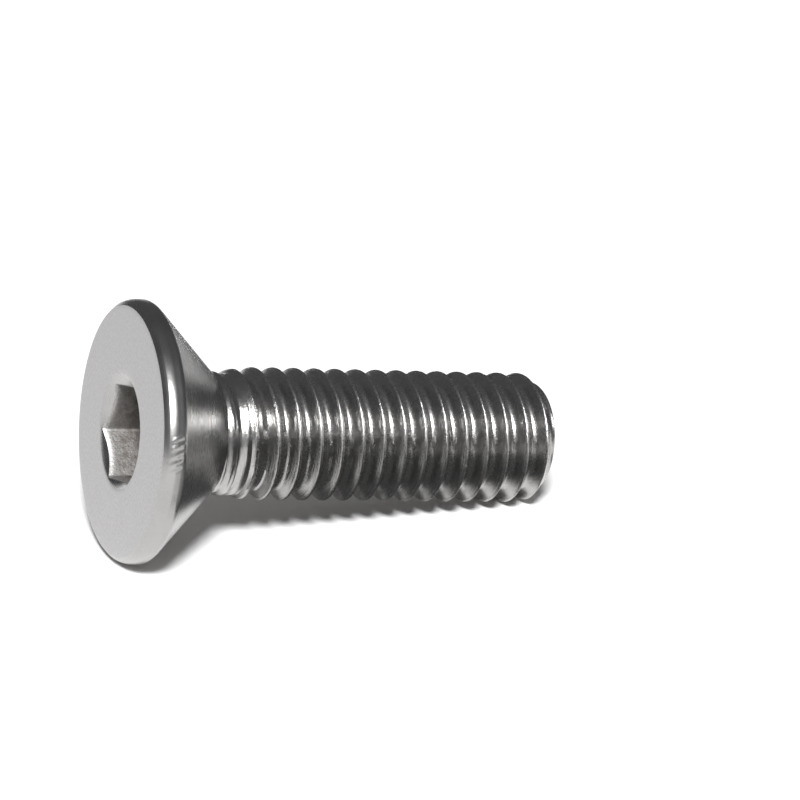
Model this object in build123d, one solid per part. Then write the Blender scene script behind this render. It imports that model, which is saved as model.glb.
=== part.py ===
"""Countersunk hexagon socket screw, M6 x 20: one piece of stainless steel.

The real screw is made from one blank: the head is upset in a die, the hexagon is punched
into it, and the thread is rolled on the shank. It is modelled in the same order, as one
solid of revolution that the hexagon and a helical groove are cut from.

It is modelled along its own axis, with the face of the head at 0 and the end at
screw_length, and is then laid down the way it comes to rest, on the rim of its head and
a crest of its thread near the end. Millimetres and degrees.
"""

import os
from math import asin, atan2, ceil, cos, degrees, floor, hypot, radians, sin, tan

from build123d import *

# Head
screw_length = 19.9
head_diameter = 11.56
countersink_angle = 90.0
rim_height = 0.9
face_chamfer = 0.25
rim_radius = 0.3
seat_edge_radius = 0.12

# Shank
neck_diameter = 5.28
neck_length = 0.45
neck_fillet = 0.3
end_diameter = 4.8
end_chamfer_angle = 45.0

# Thread, M6 coarse, right-handed, with the crests at the middle of their tolerance
nominal_diameter = 6.0
pitch = 1.0
crest_diameter = 5.88
crest_flat = 0.15
flank_angle = 60.0
root_depth_per_pitch = 0.61343
runout_length = 1.45
thread_turn = 165.0

# Socket
socket_width = 4.06
socket_depth = 2.3
socket_turn = 17.0
socket_floor_angle = 120.0
mouth_diameter = 5.04
mouth_angle = 120.0

# How far a cut reaches past the surface that it ends at
overshoot = 0.06

head_radius = head_diameter / 2
neck_radius = neck_diameter / 2
crest_radius = crest_diameter / 2
end_radius = end_diameter / 2
root_radius = nominal_diameter / 2 - root_depth_per_pitch * pitch

cone_length = (head_radius - neck_radius) / tan(radians(countersink_angle / 2))
neck_start = rim_height + cone_length
runout_start = neck_start + neck_length
runout_end = runout_start + runout_length
chamfer_start = screw_length - (crest_radius - end_radius) / tan(radians(end_chamfer_angle))

# Where the crest of the thread crosses the side of the shank that lies on the floor
groove_start = runout_start - pitch / 2
floor_side_crest = groove_start + pitch / 2 + pitch * (180 - thread_turn) / 360


def turned(*outline):
    """The solid of revolution of a half section, given as points of radius and height."""
    return revolve(Plane.XZ * make_face(Polyline(*outline, close=True)), Axis.Z)


def corner(section, radius, height):
    """The corner of a flat half section that lies nearest to a radius and a height."""
    return section.vertices().sort_by_distance((radius, height, 0))[0]


def blank():
    """Head, countersink, neck, rolled shank and chamfered end, before any cutting."""
    section = make_face(
        Polyline(
            (0, 0),
            (head_radius, 0),
            (head_radius, rim_height),
            (neck_radius, neck_start),
            (neck_radius, runout_start),
            (crest_radius, runout_end),
            (crest_radius, chamfer_start),
            (end_radius, screw_length),
            (0, screw_length),
            close=True,
        )
    )
    section = chamfer(corner(section, head_radius, 0), face_chamfer)
    section = fillet(corner(section, head_radius, face_chamfer), rim_radius)
    section = fillet(corner(section, head_radius, rim_height), seat_edge_radius)
    section = fillet(corner(section, neck_radius, neck_start), neck_fillet)
    return revolve(Plane.XZ * section, Axis.Z)


def runout_core():
    """What the rolling dies leave at the run-out: the groove rises to the neck along a cone."""
    return turned(
        (0, groove_start - pitch),
        (head_radius, groove_start - pitch),
        (head_radius, runout_start),
        (neck_radius + overshoot, runout_start),
        (root_radius - overshoot, runout_end + pitch),
        (0, runout_end + pitch),
    )


def groove():
    """The helical groove, which narrows faster below the pitch line, as its rounded root does."""
    flank = tan(radians(flank_angle / 2))
    half_width = (pitch - crest_flat) / 2
    pitch_line_radius = crest_radius - (half_width - pitch / 4) / flank
    outer_radius = crest_radius + overshoot
    outer_half_width = half_width + overshoot * flank

    section = make_face(
        Polyline(
            (root_radius, 0),
            (pitch_line_radius, pitch / 4),
            (outer_radius, outer_half_width),
            (outer_radius, -outer_half_width),
            (pitch_line_radius, -pitch / 4),
            close=True,
        )
    )
    one_turn = Edge.make_helix(pitch, pitch, crest_radius)
    turns = ceil((screw_length - groove_start) / pitch) + 1
    path = Wire([Pos(0, 0, turn * pitch) * one_turn for turn in range(turns)])
    cut = Solid.sweep((Plane.XZ * section).face(), path, is_frenet=True)
    return Pos(0, 0, groove_start) * cut - runout_core()


def socket():
    """The hexagon with its conical floor, and the cone that opens its mouth."""
    corner_radius = socket_width / 2 / cos(radians(30))
    wide = corner_radius + 1
    floor_slope = 1 / tan(radians(socket_floor_angle / 2))
    mouth_slope = 1 / tan(radians(mouth_angle / 2))
    mouth_radius = mouth_diameter / 2

    punch_nose = turned(
        (0, -1),
        (wide, -1),
        (wide, socket_depth - (wide - corner_radius) * floor_slope),
        (0, socket_depth + corner_radius * floor_slope),
    )
    hexagon = RegularPolygon(socket_width / 2, 6, major_radius=False, rotation=socket_turn)
    punch = extrude(Pos(0, 0, -overshoot) * hexagon, screw_length) & punch_nose
    mouth = turned(
        (0, -overshoot),
        (mouth_radius + overshoot / mouth_slope, -overshoot),
        (0, mouth_radius * mouth_slope),
    )
    return punch + mouth


def touching_tilt(turn):
    """The angle at which the axis dips when the rim and one crest of the thread both touch."""
    chamfer_slope = tan(radians(end_chamfer_angle))
    middle = floor_side_crest + turn * pitch
    past_chamfer_start = max(0, middle - crest_flat / 2 - chamfer_start)
    corner_height = past_chamfer_start / (1 + chamfer_slope * tan(radians(flank_angle / 2)))
    height = min(chamfer_start + corner_height, middle + crest_flat / 2)
    cut_away = max(0, height - chamfer_start) * chamfer_slope

    edge_height = rim_height - seat_edge_radius * tan(radians(countersink_angle / 4))
    run = height - edge_height
    drop = head_radius - seat_edge_radius - crest_radius + cut_away
    return degrees(atan2(drop, run) + asin(seat_edge_radius / hypot(run, drop)))


def lying_tilt():
    """The tilt at which the screw rests: the first crest to reach the floor holds it."""
    last_turn = floor((screw_length - crest_flat / 2 - floor_side_crest) / pitch)
    return min(touching_tilt(last_turn - 1), touching_tilt(last_turn))


def laid_down(screw):
    """The screw turned to lie along +X, head at -X, centred over the floor at 0."""
    tilt = radians(lying_tilt())
    axis = Vector(cos(tilt), 0, -sin(tilt))
    upper_side = Vector(sin(tilt), 0, cos(tilt))
    lying = Plane(origin=(0, 0, 0), x_dir=upper_side, z_dir=axis) * screw
    box = lying.bounding_box()
    return Pos(-box.center().X, -box.center().Y, -box.min.Z) * lying


shank_and_head = Rot(0, 0, thread_turn) * (blank() - groove())
screw = laid_down(shank_and_head - socket())

os.makedirs("parts", exist_ok=True)
export_step(screw, "parts/screw.step")
print("screw", round(screw.volume, 1), "mm3", "tilt", round(lying_tilt(), 2), screw.bounding_box().size)
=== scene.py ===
from math import atan2, cos, degrees, hypot, pi, radians, sin, sqrt, tan

import bmesh
import bpy
from mathutils import Matrix, Vector, noise


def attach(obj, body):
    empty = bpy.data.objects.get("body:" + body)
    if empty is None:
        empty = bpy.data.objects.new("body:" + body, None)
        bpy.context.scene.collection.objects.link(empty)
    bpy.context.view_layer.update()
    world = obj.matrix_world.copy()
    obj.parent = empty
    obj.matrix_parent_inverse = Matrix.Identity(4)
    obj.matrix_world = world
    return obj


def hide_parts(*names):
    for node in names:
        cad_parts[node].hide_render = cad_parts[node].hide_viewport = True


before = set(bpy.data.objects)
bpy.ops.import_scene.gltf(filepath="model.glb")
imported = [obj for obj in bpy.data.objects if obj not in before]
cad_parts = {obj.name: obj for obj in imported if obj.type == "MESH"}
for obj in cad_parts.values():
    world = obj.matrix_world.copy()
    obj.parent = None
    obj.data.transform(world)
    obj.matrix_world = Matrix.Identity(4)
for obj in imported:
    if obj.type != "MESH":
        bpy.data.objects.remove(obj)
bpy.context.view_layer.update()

mm = 0.001
columns = 192  # round the screw, a multiple of 6 so that the hexagon's corners fall on columns
samePlace = 0.003  # mm, points closer than this are joined

# How the screw lies: its axis dips towards the tip, and local X is the side that faces up
lying = {
    "tilt": 8.88373,
    "faceCentre": (-9.58895, 0.0, 5.84466),  # mm, in the shared frame
}

regions = ["face", "socket", "head", "thread"]  # the mesh's material slots, in order

# Sizes along the screw's own axis, in millimetres from the face of the head
headShape = {
    "radius": 5.779,
    "faceEdge": 5.49,  # where the flat face ends and the rim starts to turn over
    "faceEdgeRounding": 0.012,
    "crease": (5.67, 0.18),  # radius and height where the chamfer meets the rounded rim
    "rimCorner": 0.354,
    "rimRounding": 0.204,
    "seatStart": 0.9,
    "seatRounding": 0.11,
    "neckRadius": 2.66,
    "neckStart": 4.005,
    "neckRounding": 0.02,
    "bandStart": 4.014,  # the thread's own mesh takes over here
    "bandBlend": 0.05,
    "faceRings": 12,
    "rimRings": 4,
    "seatRings": 26,
}

socketShape = {
    "width": 4.06,
    "turn": 17.0,
    "depth": 2.3,
    "mouthRadius": 2.52,
    "mouthAngle": 120.0,
    "floorAngle": 120.0,
    "floorRings": (0.82, 0.62, 0.42, 0.24, 0.1),  # as shares of the hexagon
    "wallRings": 15,
    "ringSpread": 1.4,  # above 1, the rings of the walls crowd towards the mouth
    "edgeRounding": 0.03,
    "flare": 0.064,  # how far the walls open at the mouth
    "flareDepth": 0.18,
    "flareCurve": 1.3,
    "cornerWear": 0.02,
    "off": (-0.11, -0.04),  # the punch lands a little below the middle of the mouth
    "steepest": 0.66,  # a flatter face near the top belongs to the cone of the mouth
    "coneEnds": 1.5,
}

threadShape = {
    "pitch": 1.0,
    "turns": 18,
    "crestRadius": 2.94,
    "rootRadius": 2.387,
    "crestFlat": 0.15,
    "crestRounding": 0.12,
    "crestCut": 0.5073,  # how much the rounding takes off the crest, as a share of its size
    "crestLean": 0.04,  # crests lean a little towards the tip, as rolling leaves them
    "flankAngle": 60.0,
    "rootRounding": 0.42,
    "crestAtTop": 4.52 - 165 / 360,  # height of a crest on the side that faces up
    # where the thread runs out by the head, as heights and radii
    "runoutCore": [
        (4.0, 2.68), (4.4, 2.64), (4.58, 2.6), (4.98, 2.75), (5.3, 2.72), (5.7, 2.5), (6.8, 2.38),
    ],
    "runoutCrest": [(4.0, 2.69), (4.3, 2.72), (4.8, 2.78), (5.3, 2.86), (5.8, 2.92), (6.3, 2.95)],
    "softening": 0.02,
    "screwLength": 19.9,
    "chamferStart": 19.36,
    "nickScale": 6.0,
    "nickFrom": 0.38,  # only the peaks of the noise above this are nicks
    "nickDepth": 0.07,
    "foldDepth": 0.014,
    "foldsRound": 1.8,
    "foldsAlong": 8,
    "foldsFade": (5.0, 6.4),
}

tipShape = {
    "shapedFrom": 18.5,
    "cleanEdge": 0.1,  # no wear this near the end
    "dish": [  # radius and depth of each ring of the shallow dish that cutting leaves
        (2.32, 0.0),
        (2.24, 0.01),
        (2.0, 0.035),
        (1.5, 0.06),
        (0.9, 0.07),
        (0.4, 0.075),
    ],
}


def line(mesh, corners):
    # joins points given as radius and height into one open line
    dots = [mesh.verts.new((radius, 0, height)) for radius, height in corners]
    for pair in zip(dots, dots[1:]):
        mesh.edges.new(pair)
    return dots


def roundOff(mesh, dots, size, segments):
    bmesh.ops.bevel(mesh, geom=dots, affect="VERTICES", offset=size, offset_type="OFFSET",
                    segments=segments, profile=0.5, material=-1)


def divide(mesh, rings, test):
    edges = [edge for edge in mesh.edges if test(*(vert.co for vert in edge.verts))]
    bmesh.ops.subdivide_edges(mesh, edges=edges, cuts=rings)


def turnAll(mesh, rise=0.0):
    # spins a line once round the axis; rise lifts it by one pitch on the way
    start = Matrix.Rotation(radians(socketShape["turn"]), 4, "Z")
    bmesh.ops.transform(mesh, matrix=start, verts=mesh.verts[:])
    bmesh.ops.spin(mesh, geom=mesh.verts[:] + mesh.edges[:], cent=(0, 0, 0), axis=(0, 0, 1),
                   dvec=(0, 0, rise / columns), angle=2 * pi, steps=columns,
                   use_merge=rise == 0, use_duplicate=False)
    bmesh.ops.remove_doubles(mesh, verts=mesh.verts[:], dist=samePlace)


def cutAway(mesh, height, side):
    # takes off what lies above a height, or below it where side is -1
    bmesh.ops.bisect_plane(mesh, geom=mesh.verts[:] + mesh.edges[:] + mesh.faces[:], dist=0.0005,
                           plane_co=(0, 0, height), plane_no=(0, 0, side), clear_outer=True)


def boundary(mesh, test):
    return [edge for edge in mesh.edges if edge.is_boundary and all(test(v.co) for v in edge.verts)]


def newVerts(grown):
    return [part for part in grown["geom"] if isinstance(part, bmesh.types.BMVert)]


# Head: the outside from the socket's mouth to the neck, then the hexagon
def makeHead():
    mesh = bmesh.new()
    shape = headShape
    mouth = socketShape["mouthRadius"]
    dots = line(mesh, [
        (mouth, 0),
        (shape["faceEdge"], 0),
        shape["crease"],
        (shape["radius"], shape["rimCorner"]),
        (shape["radius"], shape["seatStart"]),
        (shape["neckRadius"], shape["neckStart"]),
        (shape["neckRadius"], shape["bandStart"]),
    ])
    roundOff(mesh, [dots[1]], shape["faceEdgeRounding"], 2)
    roundOff(mesh, [dots[3]], shape["rimRounding"], 12)
    roundOff(mesh, [dots[4]], shape["seatRounding"], 4)
    roundOff(mesh, [dots[5]], shape["neckRounding"], 3)

    # only the long edges of the face, the cone and the rim are divided
    divide(mesh, shape["faceRings"], lambda a, b: abs(a.z) + abs(b.z) < 1e-6 and abs(a.x - b.x) > 1)
    divide(mesh, shape["seatRings"], lambda a, b: abs(a.z - b.z) > 2)
    divide(mesh, shape["rimRings"], lambda a, b: a.x > 5.7 and b.x > 5.7 and abs(a.z - b.z) > 0.2)
    turnAll(mesh)
    addSocket(mesh)
    for face in mesh.faces:
        centre = face.calc_center_median()
        radius = hypot(centre.x, centre.y)
        deep = centre.z > socketShape["coneEnds"] or abs(face.normal.z) < socketShape["steepest"]
        if radius < mouth - 0.005 and deep:
            region = "socket"
        elif centre.z < 0.001 and radius < shape["faceEdge"] - 0.01:
            region = "face"
        else:
            region = "head"
        face.material_index = regions.index(region)
    return mesh


def addSocket(mesh):
    shape = socketShape
    off = Vector((*shape["off"], 0))
    floorSlope = 1 / tan(radians(shape["floorAngle"] / 2))
    mouthEdges = boundary(mesh, lambda co: hypot(co.x, co.y) < shape["mouthRadius"] + 0.01)

    corners = bmesh.ops.create_circle(mesh, cap_ends=False, segments=6, radius=cornerRadius())["verts"]
    sides = list({edge for corner in corners for edge in corner.link_edges})
    bmesh.ops.rotate(mesh, verts=corners, cent=(0, 0, 0),
                     matrix=Matrix.Rotation(radians(shape["turn"] + 30), 3, "Z"))
    bmesh.ops.translate(mesh, verts=corners, vec=off)
    bmesh.ops.subdivide_edges(mesh, edges=sides, cuts=columns // 6 - 1)
    topEdges = [edge for edge in mesh.edges if edge.is_wire]
    for vert in {vert for edge in topEdges for vert in edge.verts}:
        ontoWall(vert, 0)

    # walls
    edges = topEdges
    for ring in range(shape["wallRings"]):
        walls = bmesh.ops.extrude_edge_only(mesh, edges=edges)
        low = set(newVerts(walls))
        for vert in low:
            ontoWall(vert, (ring + 1) / shape["wallRings"])
        edges = [part for part in walls["geom"]
                 if isinstance(part, bmesh.types.BMEdge) and low.issuperset(part.verts)]

    # floor, a cone that the punch's nose leaves
    def isLow(co):
        return co.z > 2 and hypot(co.x, co.y) < shape["mouthRadius"]

    for share in shape["floorRings"]:
        for vert in newVerts(bmesh.ops.extrude_edge_only(mesh, edges=boundary(mesh, isLow))):
            way = (vert.co - off).to_2d()
            wanted = hexRadius(atan2(way.y, way.x)) * share
            way = way.normalized() * wanted
            vert.co = (way.x + off.x, way.y + off.y, shape["depth"] + (cornerRadius() - wanted) * floorSlope)
    bmesh.ops.contextual_create(mesh, geom=boundary(mesh, isLow))
    middle = [face for face in mesh.faces if len(face.verts) == columns]
    for vert in bmesh.ops.poke(mesh, faces=middle)["verts"]:
        vert.co.z = shape["depth"] + cornerRadius() * floorSlope

    # cone between the mouth and the hexagon, then the edge that the punch has rounded
    bmesh.ops.bridge_loops(mesh, edges=mouthEdges + topEdges)
    bmesh.ops.recalc_face_normals(mesh, faces=mesh.faces[:])
    bmesh.ops.bevel(mesh, geom=topEdges, affect="EDGES", offset=shape["edgeRounding"], offset_type="OFFSET",
                    segments=3, profile=0.5, material=-1, clamp_overlap=True)


def cornerRadius():
    return socketShape["width"] / 2 / cos(radians(30))


def hexRadius(angle):
    sector = (degrees(angle) - socketShape["turn"]) % 60 - 30
    return min(socketShape["width"] / 2 / cos(radians(sector)), cornerRadius() - socketShape["cornerWear"])


def ontoWall(vert, share):
    # share runs down a wall of the hexagon, which opens a little towards its mouth
    shape = socketShape
    way = (vert.co - Vector((*shape["off"], 0))).to_2d()
    angle = atan2(way.y, way.x)
    flat = hexRadius(angle)
    bottom = shape["depth"] + (cornerRadius() - flat) / tan(radians(shape["floorAngle"] / 2))
    top = mouthDepth(wallPlace(angle, flat + shape["flare"]))
    height = top + (bottom - top) * share ** shape["ringSpread"]
    opened = shape["flare"] * max(0, 1 - (height - top) / shape["flareDepth"]) ** shape["flareCurve"]
    vert.co = (*wallPlace(angle, flat + opened), height)


def wallPlace(angle, radius):
    # round the middle of the punch, and never past the mouth
    place = Vector(socketShape["off"]) + Vector((cos(angle), sin(angle))) * radius
    return place * min(1, (socketShape["mouthRadius"] - 0.02) / place.length)


def mouthDepth(place):
    # how deep the cone at the mouth lies below the face
    return (socketShape["mouthRadius"] - place.length) / tan(radians(socketShape["mouthAngle"] / 2))


# Thread: one pitch of the section, repeated along the axis and spun once as a helix
def makeThread():
    mesh = bmesh.new()
    shape = threadShape
    pitch = shape["pitch"]
    slope = tan(radians(shape["flankAngle"] / 2))
    lean = shape["crestLean"]
    sharpRoot = shape["crestRadius"] - (pitch - shape["crestFlat"]) / 2 / slope
    sharpCrest = shape["crestRadius"] + shape["crestCut"] * shape["crestRounding"]
    dots = line(mesh, [
        (sharpRoot, -pitch / 2),
        (sharpCrest, lean),
        (sharpRoot, pitch / 2),
        (sharpCrest, pitch + lean),
    ])
    roundOff(mesh, [dots[2]], shape["rootRounding"], 8)
    roundOff(mesh, [dots[1]], shape["crestRounding"], 6)
    cutAway(mesh, -pitch / 4, -1)
    cutAway(mesh, pitch * 3 / 4, 1)
    divide(mesh, 2, lambda a, b: (a - b).length > 0.12)
    bmesh.ops.spin(mesh, geom=mesh.verts[:] + mesh.edges[:], cent=(0, 0, 0), axis=(0, 0, 1),
                   dvec=(0, 0, pitch), angle=0, steps=shape["turns"], use_duplicate=True)
    bmesh.ops.remove_doubles(mesh, verts=mesh.verts[:], dist=samePlace)
    start = shape["crestAtTop"] + pitch * socketShape["turn"] / 360 - 2 * pitch
    bmesh.ops.translate(mesh, verts=mesh.verts[:], vec=(0, 0, start))
    turnAll(mesh, pitch)
    cutAway(mesh, shape["screwLength"], 1)
    for vert in mesh.verts:
        settle(vert)
    bmesh.ops.remove_doubles(mesh, verts=mesh.verts[:], dist=samePlace)
    for face in mesh.faces:
        face.material_index = regions.index("thread")
    return mesh


def softer(first, second, amount):
    # the larger of two values, eased where they meet; with a negative amount, the smaller
    gap = (first - second) / amount
    return (first + second + amount * sqrt(gap * gap + 1)) / 2


def smoothStep(value, low, high):
    share = min(max((value - low) / (high - low), 0), 1)
    return share * share * (3 - 2 * share)


def along(stops, height):
    # the radius at a height, between stops of height and radius
    for (low, first), (high, second) in zip(stops, stops[1:]):
        if height < high:
            return first + (second - first) * smoothStep(height, low, high)
    return stops[-1][1]


def settle(vert):
    # the run-out by the head, and the chamfer and wear at the tip
    shape = threadShape
    bandStart = headShape["bandStart"]
    height = max(vert.co.z, bandStart)
    radius = hypot(vert.co.x, vert.co.y)
    root, crest = shape["rootRadius"], shape["crestRadius"]
    if height < shape["runoutCore"][-1][0]:
        radius = softer(radius, along(shape["runoutCore"], height), shape["softening"])
        radius = softer(radius, along(shape["runoutCrest"], height), -shape["softening"])
        share = smoothStep(height, bandStart, bandStart + headShape["bandBlend"])
        radius = headShape["neckRadius"] * (1 - share) + radius * share
    if height > tipShape["shapedFrom"]:
        cone = crest - (height - shape["chamferStart"])
        radius = softer(radius, cone, -shape["softening"])
    if bandStart < height < shape["screwLength"] - tipShape["cleanEdge"]:
        radius -= wear(Vector((vert.co.x, vert.co.y, height)), (radius - root) / (crest - root))
    radius = min(radius, crest)
    scale = radius / hypot(vert.co.x, vert.co.y)
    vert.co = (vert.co.x * scale, vert.co.y * scale, height)


def wear(place, share):
    # nicks along the crests, and the folds that rolling leaves where the thread runs out
    shape = threadShape
    nick = max(0, noise.noise(place * shape["nickScale"]) - shape["nickFrom"]) * shape["nickDepth"]
    nick *= smoothStep(share, 0.8, 1)
    around = atan2(place.y, place.x)
    spread = shape["foldsRound"]
    rise = (place.z - around / (2 * pi)) * shape["foldsAlong"]
    turned = Vector((cos(around) * spread, sin(around) * spread, rise))
    fold = noise.noise(turned) + 0.6 * noise.noise(turned * 2.3)
    return nick + fold * shape["foldDepth"] * (1 - smoothStep(place.z, *shape["foldsFade"]))


def closeTip(mesh):
    # the flat end, with its shallow dish
    end = threadShape["screwLength"]
    edges = boundary(mesh, lambda co: co.z > end - 0.02)
    for vert in {vert for edge in edges for vert in edge.verts}:
        vert.co.z = end
    for ring, sink in tipShape["dish"]:
        for vert in newVerts(bmesh.ops.extrude_edge_only(mesh, edges=edges)):
            radius = hypot(vert.co.x, vert.co.y)
            vert.co = (vert.co.x * ring / radius, vert.co.y * ring / radius, end - sink)
        edges = boundary(mesh, lambda co: co.z > end - 0.2)
    bmesh.ops.contextual_create(mesh, geom=edges)
    bmesh.ops.poke(mesh, faces=[face for face in mesh.faces if len(face.verts) > columns / 2])


def axes():
    # the screw's own X, Y and Z as columns, in the shared frame
    tilt = radians(lying["tilt"])
    return Matrix((
        (sin(tilt), 0, cos(tilt)),
        (0, -1, 0),
        (cos(tilt), 0, -sin(tilt)),
    )).transposed()


def placed():
    # from the screw's own axis in millimetres to the shared frame in metres
    return Matrix.Scale(mm, 4) @ Matrix.Translation(lying["faceCentre"]) @ axes().to_4x4()


def addToScene(name, data):
    thing = bpy.data.objects.new(name, data)
    bpy.context.scene.collection.objects.link(thing)
    return thing


def meshObject(name, mesh):
    data = bpy.data.meshes.new(name)
    mesh.to_mesh(data)
    mesh.free()
    return addToScene(name, data)


def makeScrew():
    head, thread = makeHead(), makeThread()
    print("head", len(head.faces), "faces, thread", len(thread.faces), "faces")
    whole = bmesh.new()
    for mesh in (head, thread):
        data = bpy.data.meshes.new("bit")
        mesh.to_mesh(data)
        mesh.free()
        whole.from_mesh(data)
        bpy.data.meshes.remove(data)
    bmesh.ops.remove_doubles(whole, verts=whole.verts[:], dist=0.004)
    closeTip(whole)
    bmesh.ops.recalc_face_normals(whole, faces=whole.faces[:])
    for face in whole.faces:
        face.smooth = True
    openEdges = sum(len(edge.link_faces) != 2 for edge in whole.edges)
    triangles = sum(len(face.verts) - 2 for face in whole.faces)
    print("screw", triangles, "triangles,", openEdges, "open edges")
    bmesh.ops.transform(whole, matrix=placed(), verts=whole.verts[:])
    piece = meshObject("screw_body", whole)
    piece.data.set_sharp_from_angle(angle=radians(34))
    weighted = piece.modifiers.new("faceWeights", "WEIGHTED_NORMAL")
    weighted.keep_sharp = True
    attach(piece, "root")
    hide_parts("screw")
    return piece


screw = makeScrew()


# Materials
class Wire:
    # what comes out of a node's socket, with arithmetic that adds its Math nodes
    def __init__(self, recipe, socket):
        self.recipe, self.socket = recipe, socket

    def __add__(self, other):
        return self.recipe.maths("ADD", self, other)

    def __sub__(self, other):
        return self.recipe.maths("SUBTRACT", self, other)

    def __rsub__(self, other):
        return self.recipe.maths("SUBTRACT", other, self)

    def __mul__(self, other):
        return self.recipe.maths("MULTIPLY", self, other)

    def __pow__(self, other):
        return self.recipe.maths("POWER", self, other)

    __radd__, __rmul__ = __add__, __mul__


class Recipe:
    # the nodes of a material, or of the world
    def __init__(self, owner, shader="Principled BSDF"):
        owner.use_nodes = True
        self.owner = owner
        self.tree = owner.node_tree
        self.shader = self.tree.nodes[shader]

    def node(self, kind, settings, values=(), out=0):
        # values by order or by name; out names one socket, or several in a tuple
        made = self.tree.nodes.new(kind)
        for name, value in settings.items():
            setattr(made, name, value)
        for key, value in values.items() if isinstance(values, dict) else enumerate(values):
            self.feed(made.inputs[key], value)
        if isinstance(out, tuple):
            return [Wire(self, made.outputs[one]) for one in out]
        return Wire(self, made.outputs[out])

    def feed(self, socket, value):
        if isinstance(value, Wire):
            self.tree.links.new(value.socket, socket)
        else:
            socket.default_value = value

    def finish(self, **values):
        for key, value in values.items():
            self.feed(self.shader.inputs[key.replace("_", " ")], value)
        return self.owner

    def maths(self, operation, *values):
        return self.node("ShaderNodeMath", {"operation": operation}, values)

    def place(self, turn, centre, kind="POINT"):
        # object coordinates in millimetres, turned and centred
        where = self.node("ShaderNodeTexCoord", {}, out="Object")
        scale = mm if kind == "TEXTURE" else 1 / mm
        return self.node("ShaderNodeMapping", {"vector_type": kind}, {
            "Vector": where, "Scale": (scale,) * 3, "Rotation": turn, "Location": centre})

    def own(self):
        # along the screw's own axes, the height from the face of the head last
        turned = axes().transposed()
        return self.place(turned.to_euler(), -(turned @ Vector(lying["faceCentre"])))

    def split(self, vector):
        return self.node("ShaderNodeSeparateXYZ", {}, (vector,), out=(0, 1, 2))

    def join(self, x, y, z):
        return self.node("ShaderNodeCombineXYZ", {}, (x, y, z))

    def roundAxis(self, vector):
        # the radius, the angle and the height of a place on the screw
        x, y, height = self.split(vector)
        return (x * x + y * y) ** 0.5, self.maths("ARCTAN2", y, x), height

    def grain(self, vector, scale, detail=2.0, roughness=0.5):
        return self.node("ShaderNodeTexNoise", {}, {
            "Vector": vector, "Scale": scale, "Detail": detail, "Roughness": roughness})

    def fade(self, value, low, high):
        # 0 below the first value, 1 above the second, eased between them
        return self.node("ShaderNodeMapRange", {"interpolation_type": "SMOOTHSTEP"},
                         {0: value, 1: low, 2: high})

    def band(self, value, start, full, fall, end):
        # 1 between the middle two values, fading to 0 at the outer two
        return self.fade(value, start, full) * (1 - self.fade(value, fall, end))

    def blend(self, share, colour, other):
        # colours as three numbers, or as what another node gives
        first, second = [one if isinstance(one, Wire) else (*one, 1) for one in (colour, other)]
        return self.node("ShaderNodeMix", {"data_type": "RGBA"}, {0: share, 6: first, 7: second}, out=2)

    def bump(self, height, depth, before=None):
        # depth in millimetres; before is a bump that this one comes on top of
        values = {"Height": height, "Distance": depth * mm, "Strength": 1.0}
        if before:
            values["Normal"] = before
        return self.node("ShaderNodeBump", {}, values)


def grey(tone):
    return (tone, tone, tone, 1)


faceSteel = {
    "dark": (0.36, 0.354, 0.356),
    "light": (0.5, 0.492, 0.494),
    "roughness": 0.32,
    "grainSize": 8.0,  # grains to a millimetre
    "grainDepth": 0.002,
}


def makeFaceSteel():
    look = faceSteel
    recipe = Recipe(bpy.data.materials.new("satinFace"))
    own = recipe.own()
    fine = recipe.fade(recipe.grain(own, look["grainSize"], 3.0, 0.7), 0.35, 0.65)
    cloud = recipe.fade(recipe.grain(own, 0.7, 4.0, 0.6), 0.3, 0.7)
    return recipe.finish(
        Metallic=1.0,
        Base_Color=recipe.blend(cloud * 0.3 + fine * 0.7, look["dark"], look["light"]),
        Roughness=look["roughness"] + cloud * 0.06 + fine * 0.05,
        Normal=recipe.bump(fine, look["grainDepth"]))


socketSteel = {
    "dark": (0.22, 0.21, 0.2),
    "light": (0.64, 0.63, 0.62),
    "stainAndDepthShade": (0.2, 0.17, 0.15),
    "depthShadeAndStainFrom": (0.25, 1.1),  # heights over which the colour darkens: painted shade deeper in the socket, mixed with mottled stains
    "roughness": 0.4,
    "pitDepth": 0.014,
    "streakDepth": 0.01,
}


def makeSocketSteel():
    look = socketSteel
    recipe = Recipe(bpy.data.materials.new("punchedSocket"))
    own = recipe.own()
    x, y, height = recipe.split(own)
    streaks = recipe.grain(recipe.join(x * 9.0, y * 9.0, height * 2.2), 1.0, 3.0, 0.6)
    pits = recipe.grain(own, 9.0, 4.0, 0.65)
    stains = recipe.fade(recipe.grain(own, 2.6, 3.0, 0.6), 0.42, 0.62)
    steel = recipe.blend(pits, look["dark"], look["light"])
    # painted shade: deeper in the socket the base colour darkens towards the stain colour, mottled with
    # stains
    deep = recipe.fade(height, *look["depthShadeAndStainFrom"])
    return recipe.finish(
        Metallic=1.0,
        Base_Color=recipe.blend(deep * (0.25 + stains * 0.45), steel, look["stainAndDepthShade"]),
        Roughness=look["roughness"] + streaks * 0.18,
        Normal=recipe.bump(pits, look["pitDepth"], recipe.bump(streaks, look["streakDepth"])))


headSteel = {
    "dark": (0.38, 0.375, 0.37),
    "light": (0.46, 0.455, 0.45),
    "roughness": 0.2,
    "ringSize": 16.0,  # turned rings to a millimetre
    "ringDepth": 0.0012,
    "waveDepth": 0.01,
    "scuffDepth": 0.003,
}

# Marks that a clamp leaves on the rim
gripMarks = {
    "first": 74.0,  # degrees round the screw, from the side that faces up
    "last": 89.5,
    "pitch": 3.6,
    "slant": 4.0,  # degrees for each millimetre of height
    "low": 0.2,
    "high": 0.92,
    "depth": 0.006,
}


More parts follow.
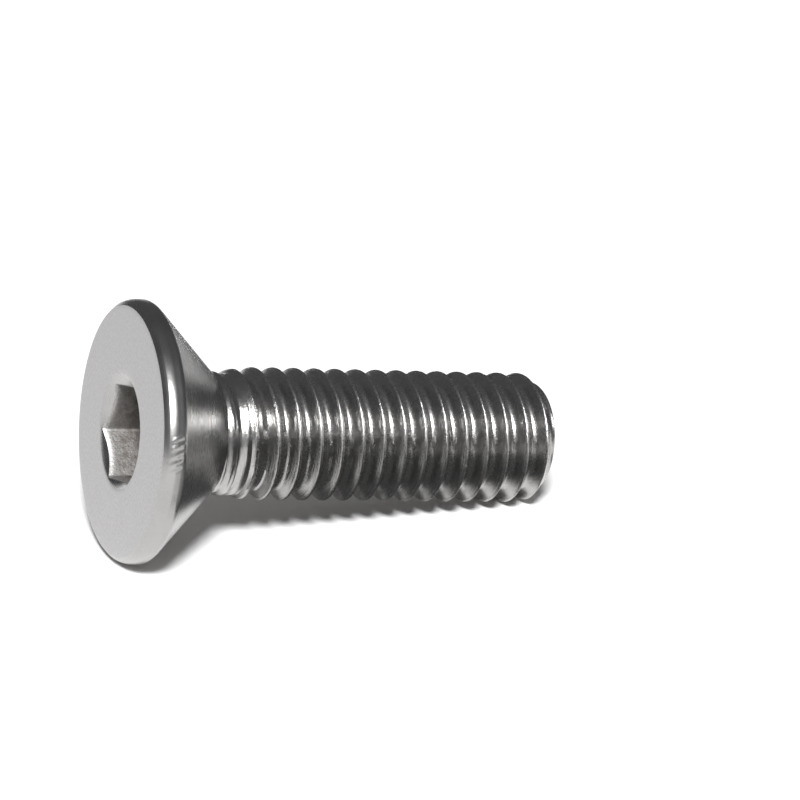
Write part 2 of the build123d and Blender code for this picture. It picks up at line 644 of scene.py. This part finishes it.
def makeHeadSteel():
    look, marks = headSteel, gripMarks
    recipe = Recipe(bpy.data.materials.new("forgedHead"))
    own = recipe.own()
    radius, angle, height = recipe.roundAxis(own)
    size = look["ringSize"]
    rings = recipe.grain(recipe.join(radius * size, height * size, angle * 1.6), 1.0, 2.0, 0.6)
    cloud = recipe.grain(own, 0.8, 2.0, 0.5)
    scuffs = recipe.grain(own, 5.0, 3.0, 0.6)
    rim = recipe.fade(radius, 5.5, 5.72)

    turned = angle * (180 / pi) + height * marks["slant"]
    wave = recipe.maths("SINE", turned * (2 * pi / marks["pitch"]))
    inside = recipe.band(turned, marks["first"], marks["first"] + 3, marks["last"], marks["last"] + 4)
    inside = inside * recipe.band(
        height, marks["low"], marks["low"] + 0.2, marks["high"] - 0.1, marks["high"])
    grip = recipe.bump((wave + scuffs * 2.0) * inside * rim, marks["depth"])
    scuffed = recipe.bump(scuffs * rim, look["scuffDepth"], grip)
    waved = recipe.bump(cloud, look["waveDepth"], scuffed)

    return recipe.finish(
        Metallic=1.0,
        Base_Color=recipe.blend(cloud, look["dark"], look["light"]),
        Roughness=look["roughness"] + cloud * 0.08 + rings * 0.06 + rim * 0.02,
        Normal=recipe.bump(rings, look["ringDepth"], waved))


threadSteel = {
    "dark": (0.4, 0.395, 0.39),
    "light": (0.54, 0.53, 0.52),
    "roughness": 0.18,
    "flowSize": 17.0,  # rolling lines to a millimetre
    "flowDepth": 0.009,
    "burrDepth": 0.016,
}


def makeThreadSteel():
    look = threadSteel
    recipe = Recipe(bpy.data.materials.new("rolledThread"))
    own = recipe.own()
    radius, angle, height = recipe.roundAxis(own)
    unwound = height - angle * (threadShape["pitch"] / (2 * pi))
    size = look["flowSize"]
    flow = recipe.grain(recipe.join(unwound * size, radius * size, angle * 2.5), 1.0, 3.0, 0.6)
    cloud = recipe.grain(own, 1.6, 3.0, 0.55)
    burrs = recipe.grain(own, 13.0, 3.0, 0.65)
    worn = recipe.fade(recipe.grain(own, 9.0, 4.0, 0.7), 0.35, 0.65)
    crest = recipe.fade(radius, 2.8, 2.9)
    root = 1 - recipe.fade(radius, 2.42, 2.6)
    runout = 1 - recipe.fade(height, 4.9, 6.2)
    rough = crest + runout * 0.6
    roughness = look["roughness"] + cloud * 0.06 + flow * 0.04 + worn * 0.03
    return recipe.finish(
        Metallic=1.0,
        Base_Color=recipe.blend(cloud * 0.5 + worn * 0.5, look["dark"], look["light"]),
        Roughness=roughness + crest * 0.04 + root * 0.03,
        Normal=recipe.bump(burrs * rough, look["burrDepth"], recipe.bump(flow, look["flowDepth"])))


for makeOne in (makeFaceSteel, makeSocketSteel, makeHeadSteel, makeThreadSteel):
    screw.data.materials.append(makeOne())
print("materials", [material.name for material in screw.data.materials])

# Camera
view = {
    "place": (-54.197, -138.827, 59.207),
    "direction": (0.36179, 0.86946, -0.33643),
    "lens": 160.46,
    "sensor": 36,
}


def aim(thing, place, direction):
    # lamps and cameras look along their own -Z
    thing.location = place
    thing.rotation_mode = "QUATERNION"
    thing.rotation_quaternion = Vector(direction).to_track_quat("-Z", "Y")


def setCamera():
    camera = bpy.data.cameras.new("camera")
    camera.sensor_width = view["sensor"]
    camera.lens = view["lens"]
    camera.clip_start, camera.clip_end = 0.01, 5
    cameraObject = addToScene("camera", camera)
    aim(cameraObject, Vector(view["place"]) * mm, view["direction"])
    bpy.context.scene.camera = cameraObject


# Studio: white paper, one round lamp and a dim even surround
studio = {
    "paper": 0.9,
    "backdrop": (1.0, 1.0, 1.0),  # what stands behind the paper
    "surroundOnPaper": (0.2, 0.195, 0.19),
    "surroundInMetal": (0.1, 0.1, 0.105),
    "lampAzimuth": -110.5,
    "lampHeight": 42.5,  # degrees above the paper
    "lampDistance": 2.4,
    "lampSize": 0.48,
    "lampPower": 99.0,
}


def layPaper():
    mesh = bmesh.new()
    bmesh.ops.create_grid(mesh, x_segments=1, y_segments=1, size=2)
    paper = meshObject("floor", mesh)
    recipe = Recipe(bpy.data.materials.new("paper"))
    paper.data.materials.append(recipe.finish(
        Base_Color=grey(studio["paper"]), Roughness=1.0, Specular_IOR_Level=0.0))


def hangLamp():
    lamp = bpy.data.lights.new("lamp", "AREA")
    lamp.shape = "DISK"
    lamp.size = studio["lampSize"]
    lamp.energy = studio["lampPower"]
    height, azimuth = radians(studio["lampHeight"]), radians(studio["lampAzimuth"])
    outward = Vector((cos(height) * cos(azimuth), cos(height) * sin(azimuth), sin(height)))
    aim(addToScene("lamp", lamp), outward * studio["lampDistance"], -outward)


def hangSurround():
    # a white backdrop, and a dimmer room round the lamp
    recipe = Recipe(bpy.data.worlds.new("surround"), "Background")
    mirrored, seen = recipe.node("ShaderNodeLightPath", {}, out=("Is Glossy Ray", "Is Camera Ray"))
    room = recipe.blend(mirrored, studio["surroundOnPaper"], studio["surroundInMetal"])
    bpy.context.scene.world = recipe.finish(Color=recipe.blend(seen, room, studio["backdrop"]))


# What polished metal mirrors beside it: rods shaped like the neighbouring screws, their steel darkened as
# painted shade, and the shade below them
rods = {  # where the thin and the thick end of each lie
    # tone: a steel darker than the screw's own, the difference painted shade
    "rodInFront": {"thin": (-6.5, -7.2, 2.95), "thick": (9.6, -16.7, 5.8), "tone": 0.28},
    "rodBehind": {"thin": (4.0, 16.3, 2.95), "thick": (18.8, 3.4, 5.8), "tone": 0.3},
    "rodFurther": {"thin": (21.1, 22.4, 2.95), "thick": (1.6, 28.9, 5.8), "tone": 0.3},
}

rodShape = {
    "ribs": 16,
    "ribRoot": 2.4,
    "ribCrest": 2.94,
    "flare": [(2.6, 16), (5.7, 18.8), (5.7, 19.6), (0, 19.6)],  # radii and heights up to the thick end
    "roughness": 0.3,
}

# painted shadow: a dim glowing card on the paper, seen only in reflections, where the neighbours' shadow
# falls
shade = {"start": (-4.8, -4.6), "end": (12.7, -11.2), "width": 15.0, "soft": 1.2, "tone": 0.075}


def onlyMirrored(thing):
    thing.visible_camera = thing.visible_diffuse = thing.visible_shadow = False
    thing.visible_transmission = thing.visible_volume_scatter = False


def layRod(name, thin, thick, tone):
    mesh = bmesh.new()
    shape = rodShape
    ribs = []
    for height in range(shape["ribs"]):
        ribs += [(shape["ribRoot"], height), (shape["ribCrest"], height + 0.5)]
    line(mesh, [(0, 0), *ribs, *shape["flare"]])
    bmesh.ops.spin(mesh, geom=mesh.verts[:] + mesh.edges[:], cent=(0, 0, 0), axis=(0, 0, 1),
                   dvec=(0, 0, 0), angle=2 * pi, steps=48, use_merge=True, use_duplicate=False)
    bmesh.ops.remove_doubles(mesh, verts=mesh.verts[:], dist=samePlace)
    bmesh.ops.recalc_face_normals(mesh, faces=mesh.faces[:])
    turn = (Vector(thick) - Vector(thin)).to_track_quat("Z", "Y").to_matrix().to_4x4()
    lay = Matrix.Scale(mm, 4) @ Matrix.Translation(thin) @ turn
    bmesh.ops.transform(mesh, matrix=lay, verts=mesh.verts[:])
    rod = meshObject(name, mesh)
    recipe = Recipe(bpy.data.materials.new(name))
    rod.data.materials.append(recipe.finish(
        Base_Color=grey(tone), Metallic=1.0, Roughness=shape["roughness"]))
    onlyMirrored(rod)


def layShade():
    start, end, soft = Vector(shade["start"]), Vector(shade["end"]), shade["soft"]
    middle = (start + end) / 2
    halfLength, halfWidth = (end - start).length / 2 + soft, shade["width"] / 2
    angle = atan2(end.y - start.y, end.x - start.x)
    mesh = bmesh.new()
    bmesh.ops.create_grid(mesh, x_segments=1, y_segments=1, size=1)
    lay = (Matrix.Scale(mm, 4) @ Matrix.Translation((*middle, 0.02)) @ Matrix.Rotation(angle, 4, "Z")
           @ Matrix.Diagonal((halfLength, halfWidth, 1, 1)))
    bmesh.ops.transform(mesh, matrix=lay, verts=mesh.verts[:])
    card = meshObject("shade", mesh)

    # opaque inside, and soft at its edges
    recipe = Recipe(bpy.data.materials.new("shade"))
    x, y, _ = recipe.split(recipe.place((0, 0, angle), (middle.x * mm, middle.y * mm, 0), "TEXTURE"))
    inside = recipe.fade(halfLength - recipe.maths("ABSOLUTE", x), 0, soft)
    inside = inside * recipe.fade(halfWidth - recipe.maths("ABSOLUTE", y), 0, soft)
    card.data.materials.append(recipe.finish(
        Base_Color=grey(0), Specular_IOR_Level=0.0, Emission_Color=grey(shade["tone"]),
        Emission_Strength=1.0, Alpha=inside))
    onlyMirrored(card)


setCamera()
layPaper()
hangLamp()
hangSurround()
for name, ends in rods.items():
    layRod(name, **ends)
layShade()
bpy.context.scene.view_settings.view_transform = "Standard"
